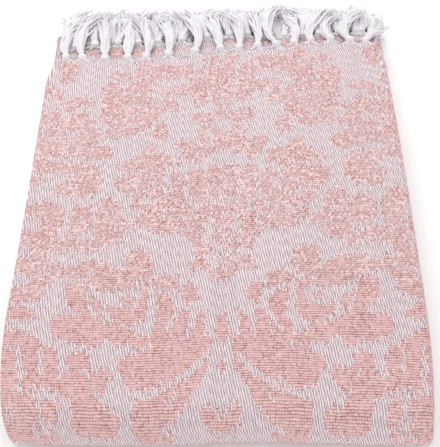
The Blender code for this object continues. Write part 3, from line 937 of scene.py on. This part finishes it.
# A tassel's sections: share of its reach, half width and half depth of the bunch, and a strand's radius
SECTIONS = np.array(
    (
        (0.03, 0.0021, 0.0012, 0.0009),
        (0.12, 0.0016, 0.0012, 0.0010),
        (0.20, 0.0022, 0.0016, 0.0012),
        (0.35, 0.0033, 0.0022, 0.0014),
        (0.55, 0.0037, 0.0024, 0.0014),
        (0.75, 0.0038, 0.0023, 0.0013),
        (0.88, 0.0040, 0.0021, 0.0010),
        (1.00, 0.0044, 0.0019, 0.0006),
    )
)
# The counts and sizes of a tassel's parts, in metres
STRANDS = 12
STRAND_SIDES = 5
STRAND_RINGS = 11
CORE_SIDES = 8
KNOT_LENGTH = 0.0078
KNOT_HALF_WIDTH = 0.0045
KNOT_HALF_DEPTH = 0.0033
KNOT_RINGS = 9
KNOT_SIDES = 10
FAN_ENDS = 9
FAN_HALF = 0.0098
FAN_RINGS = 6
FAN_SIDES = 4
FAN_CURVE = 1.4
HAIR_RADIUS = 0.0003
HAIR_RINGS = 5
HAIR_SIDES = 3
# Hairs off the strands' last stretch, and off their sides all the way: how many a tassel has, the ring that
# they start from, the greatest length, and the spread of their headings
HAIRS = ((22, STRAND_RINGS - 3, 0.010, 0.55), (16, 3, 0.0050, 0.9))
# Nothing of the fringe goes below this
LOWEST_YARN = 0.0001

# How the tassels differ: the mean and spread of the lean and how it falls across the hem, the spread of the
# bow, and the least and most of the tip's rise, the middle's arch and the bunch's puff
LEAN = (0.003, 0.0050)
LEAN_FALL = 0.022
BOW = 0.0030
RISE = (0.001, 0.006)
ARCH = (-0.001, 0.001)
PUFF = (1.5, 2.0)
TOP_ROW_ARCH = (0.0005, 0.0025)
TOP_ROW_PUFF = (0.9, 1.15)
# How a tassel's strands differ: the spread of their places round the bunch and of its twist, least and most
# of their distance out, their waves' heights aside and up, and least and most of the waves' rate, and of
# the strands' length and thickness
STRAND_JITTER = 0.16
BUNCH_TWIST = 1.6
STRAND_OUT = (0.72, 1.05)
STRAND_WAVES = (0.0030, 0.0018)
STRAND_RATE = (4.0, 11.0)
STRAND_LENGTH = (0.80, 1.06)
STRAND_THICKNESS = (0.85, 1.15)
# How the knots differ: the spread of their places and of their slant, how far they stand up, their lumps as
# a share, and least and most of their size
KNOT_SHIFT = 0.0004
KNOT_SLANT = 0.0006
KNOT_RISE = 0.0005
KNOT_LUMPS = 0.10
KNOT_SIZE = (0.9, 1.12)
# How the fan's ends differ: the spread of their places, and least and most of their start inside the hem
FAN_JITTER = 0.0006
FAN_START = (0.0008, 0.0040)
# How the hairs differ: least and most of their place between two rings and of their length, how far they
# stray on each axis, and how much thinner they end
HAIR_PLACE = (0.1, 0.95)
HAIR_LENGTH = (0.45, 1.0)
HAIR_STRAY = (1.0, 0.4, 0.6)
HAIR_TAPER = 0.7

# The top row, from left to right, in millimetres: its root's place across, its tip's lean, its middle's bow,
# its tip's rise, and its length as a share
TOP_ROW = (
    (-154, 8, -4, 3, 1.15),
    (-137, 9, -6, 6, 1.20),
    (-114, -7, -1, 7, 1.19),
    (-91, -5, 1, 5, 1.15),
    (-72, -13, 4, 8, 1.22),
    (-49, -7, 3, 5, 1.14),
    (-22, -12, 6, 8, 1.17),
    (4, -12, -2, 5, 1.06),
    (23, -16, 3, 6, 1.08),
    (42, -8, 1, 5, 1.04),
    (61, 5, -11, 9.5, 1.24),
    (79, -6, 3, 4, 0.92),
    (96, 25, -4, 6, 0.92),
    (116, 9, -6, 5, 0.86),
    (136, 15, -8, 6, 0.82),
    (152, 20, 3, -3, 0.56),
)


def fringe_piece(name, roots, lengths, on_top, lift, seed, material):
    """One hem's fringe: each tassel is a fan of ends drawn into a knot, then a soft bunch with frayed tips.

    A bunch's middle goes aside by lean * free ** 2 + bow * 4 * free * (1 - free), and up in the same way,
    where free is the share of its reach past the knot. Its strands stand round an ellipse about that middle.
    """
    chance = np.random.default_rng(seed)
    count = len(roots)
    lean = chance.normal(*LEAN, count) - LEAN_FALL * roots[:, 0]
    bow = chance.normal(0, BOW, count)
    rise = chance.uniform(*RISE, count)
    arch = chance.uniform(*ARCH, count)
    puff = chance.uniform(*PUFF, count)
    if on_top is not None:
        row = np.array(TOP_ROW) / 1000
        lean[on_top], bow[on_top], rise[on_top] = row[:, 1], row[:, 2], row[:, 3]
        lengths = lengths.copy()
        lengths[on_top] = TASSEL_REACH * row[:, 4] * 1000
        arch[on_top] = chance.uniform(*TOP_ROW_ARCH, len(row))
        puff[on_top] = chance.uniform(*TOP_ROW_PUFF, len(row))

    def bunch(share):
        """How far aside and up a tassel's middle is at each share."""
        free = np.clip((share - KNOT_SHARE) / (1 - KNOT_SHARE), 0, None)
        hump = 4 * free * (1 - free)
        aside = lean[:, None] * free**2 + bow[:, None] * hump
        return aside, rise[:, None] * free**2 + arch[:, None] * hump

    # Strands round a core that closes the gaps between them
    share = np.concatenate([[0.03, 0.10, 0.16], np.linspace(0.24, 1.0, STRAND_RINGS - 3)])
    wide, deep, radius = (np.interp(share, SECTIONS[:, 0], SECTIONS[:, column]) for column in (1, 2, 3))
    side_bent, up_bent = bunch(share[None])
    turn = np.arange(STRANDS) * math.tau / STRANDS + chance.normal(0, STRAND_JITTER, (count, STRANDS))
    turn = turn[..., None] + chance.normal(0, BUNCH_TWIST, (count, 1, 1)) * share
    out = chance.uniform(*STRAND_OUT, (count, STRANDS, 1)) * puff[:, None, None]
    free = np.clip(share - KNOT_SHARE, 0, None)
    phase = chance.uniform(0, math.tau, (2, count, STRANDS, 1))
    rate = chance.uniform(*STRAND_RATE, (2, count, STRANDS, 1))
    wavy = free * np.sin(rate * share + phase)
    aside = np.cos(turn) * wide * out + side_bent[:, None] + STRAND_WAVES[0] * wavy[0]
    above = np.sin(turn) * deep * out + up_bent[:, None] + STRAND_WAVES[1] * wavy[1]
    own_length = lengths[:, None, None] * chance.uniform(*STRAND_LENGTH, (count, STRANDS, 1))
    reach = np.where(share < 0.2, lengths[:, None, None], own_length) * share
    centres = tassel_spots(roots[:, None, None], reach, aside, above, lift).reshape(-1, len(share), 3)
    thick = np.broadcast_to(radius, centres.shape[:2])
    thick = thick * chance.uniform(*STRAND_THICKNESS, (len(centres), 1))
    strands = tubes(centres, thick, thick, STRAND_SIDES)
    core_reach = lengths[:, None] * share[:-2]
    core = tassel_spots(roots[:, None], core_reach, side_bent[:, :-2], up_bent[:, :-2], lift)
    cores = tubes(core, wide[:-2] * puff[:, None], deep[:-2] * puff[:, None], CORE_SIDES)

    # Knot: a lumpy bead about the fan's waist, whose belly is the root of a half sine with a small wave on it
    bead = np.linspace(0.03, 0.97, KNOT_RINGS)
    waist = KNOT_SHARE * TASSEL_REACH
    bead_reach = waist + (bead - 0.5) * KNOT_LENGTH + chance.normal(0, KNOT_SHIFT, (count, 1))
    slant = chance.normal(0, KNOT_SLANT, (count, 1)) * (bead - 0.5) * 2
    knot_centres = tassel_spots(roots[:, None], bead_reach, slant, KNOT_RISE + 0 * slant, lift)
    lumps = 1 + KNOT_LUMPS * np.sin(bead * 12 + chance.uniform(0, 6, (count, 1)))
    belly = np.sqrt(np.sin(math.pi * bead)) * lumps * chance.uniform(*KNOT_SIZE, (count, 1))
    knots = tubes(knot_centres, KNOT_HALF_WIDTH * belly, KNOT_HALF_DEPTH * belly, KNOT_SIDES)

    # Fan: warp ends that leave the hem's edge side by side and curve in to the knot, by a power of 1 - share,
    # and rise and thicken evenly towards it. The outer ones are the thicker.
    fan_share = np.linspace(0, 1, FAN_RINGS)
    fan_from = np.linspace(-FAN_HALF, FAN_HALF, FAN_ENDS)
    fan_from = fan_from + chance.normal(0, FAN_JITTER, (count, FAN_ENDS))
    fan_aside = fan_from[..., None] * (1 - fan_share) ** FAN_CURVE
    fan_start = chance.uniform(*FAN_START, (count, FAN_ENDS, 1))
    fan_reach = -fan_start + (waist + fan_start) * fan_share
    fan_above = 0.0009 + 0.0005 * fan_share + 0 * fan_aside
    fan_centres = tassel_spots(roots[:, None, None], fan_reach, fan_aside, fan_above, lift)
    fan_thick = 0.0005 + 0.0002 * fan_share + 0.0003 * (np.abs(fan_from) / FAN_HALF).reshape(-1, 1)
    fans = tubes(fan_centres.reshape(-1, FAN_RINGS, 3), fan_thick, fan_thick, FAN_SIDES)

    # Hairs: from a spot on a strand, way * share + stray * share ** 1.5
    hair = np.linspace(0, 1, HAIR_RINGS)
    hair_sets = []
    for each, from_ring, long, spread in HAIRS:
        picked = chance.integers(0, STRANDS, (count, each)) + np.arange(count)[:, None] * STRANDS
        ring = chance.integers(from_ring, len(share) - 1, picked.size)
        low_end, high_end = centres[picked.ravel(), ring], centres[picked.ravel(), ring + 1]
        along = chance.uniform(*HAIR_PLACE, (len(ring), 1))
        way = high_end - low_end
        way = way / np.linalg.norm(way, axis=1, keepdims=True)
        stray = chance.normal(0, spread, way.shape) * np.array(HAIR_STRAY)
        hair_length = chance.uniform(*HAIR_LENGTH, (len(way), 1, 1)) * long
        hair_path = way[:, None] * hair[:, None] + stray[:, None] * hair[:, None] ** 1.5
        hair_centres = (low_end * (1 - along) + high_end * along)[:, None] + hair_path * hair_length
        hair_thick = np.broadcast_to(HAIR_RADIUS * (1 - HAIR_TAPER * hair), hair_centres.shape[:2])
        hair_sets.append(tubes(hair_centres, hair_thick, hair_thick, HAIR_SIDES))

    points, faces, places = joined([strands, cores, knots, fans, *hair_sets])
    points[:, 2] = np.maximum(points[:, 2], LOWEST_YARN)
    piece = add_piece(name, points, faces, material)
    set_corner_map(piece.data, "yarn", places)
    return piece


# The throw
face = woven_damask("cotton_jacquard_face", False)
back = woven_damask("cotton_jacquard_back", True)
yarn = spun_yarn()
top_places = np.array(TOP_ROW)[:, 0] / 1000
top_roots, top_lengths, in_top_row = tassel_roots(CLOTH_LENGTH, odd_phase=0.75, seed=3, top_places=top_places)
under_roots, under_lengths, _ = tassel_roots(0.0, odd_phase=0.25, seed=4)
knots = (settled(top_roots[in_top_row]) + CENTRING)[:, 0]

cloth = cloth_piece(face, back, knots)
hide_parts("throw_cloth")
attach(cloth, "root")

fringe_top = fringe_piece(
    "fringe_top_tassels", top_roots, top_lengths, in_top_row, lift=0.0013, seed=11, material=yarn
)
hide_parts("fringe_top")
fringe_under = fringe_piece(
    "fringe_under_tassels", under_roots, under_lengths, None, lift=0.0, seed=12, material=yarn
)
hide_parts("fringe_under")
for fringe in (fringe_top, fringe_under):
    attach(fringe, "root")


# The floor, just under the throw
FLOOR_HALF = 2.5
FLOOR_DROP = 0.0003
floor_points = np.array(
    [(x, y, -FLOOR_DROP) for x, y in ((-1, -1), (1, -1), (1, 1), (-1, 1))]
) * np.array([FLOOR_HALF, FLOOR_HALF, 1])
floor = add_piece("floor", floor_points, [[0, 1, 2, 3]], matt_paper())


def add_light(name, place, size, power, tilt):
    """A square soft light at a place, turned by tilt about x, y and z."""
    data = bpy.data.lights.new(name, "AREA")
    data.size = size
    data.energy = power
    light = bpy.data.objects.new(name, data)
    light.location = place
    light.rotation_euler = tilt
    bpy.context.scene.collection.objects.link(light)


# Soft studio light: a big box behind on the left, a low one in front, and a white room
add_light("light_key", (-0.30, 0.72, 1.05), size=1.3, power=9.6, tilt=np.radians((-30, -13, 0)))
add_light("light_front", (0.25, -1.4, 0.35), size=1.0, power=3.1, tilt=np.radians((78, 0, 9)))
world = bpy.data.worlds.new("white_room")
world.use_nodes = True
world.node_tree.nodes["Background"].inputs["Color"].default_value = linear("#FFFFFF")
world.node_tree.nodes["Background"].inputs["Strength"].default_value = 0.87
bpy.context.scene.world = world
bpy.context.scene.view_settings.view_transform = "Standard"

# The camera, at the photo's angle: 48.5 degrees above the level, with a focal length of 1037.6 of its pixels
ELEVATION = math.radians(48.5)
FOCAL_PIXELS = 1037.6
LONG_SIDE_PIXELS = 447
camera_data = bpy.data.cameras.new("camera")
camera_data.sensor_width = 36.0
camera_data.lens = FOCAL_PIXELS * camera_data.sensor_width / LONG_SIDE_PIXELS
camera = bpy.data.objects.new("camera", camera_data)
camera.location = (0, -0.6396, 0.690)
camera.rotation_euler = (math.pi / 2 - ELEVATION, 0, 0)
bpy.context.scene.collection.objects.link(camera)
bpy.context.scene.camera = camera

bpy.context.view_layer.update()
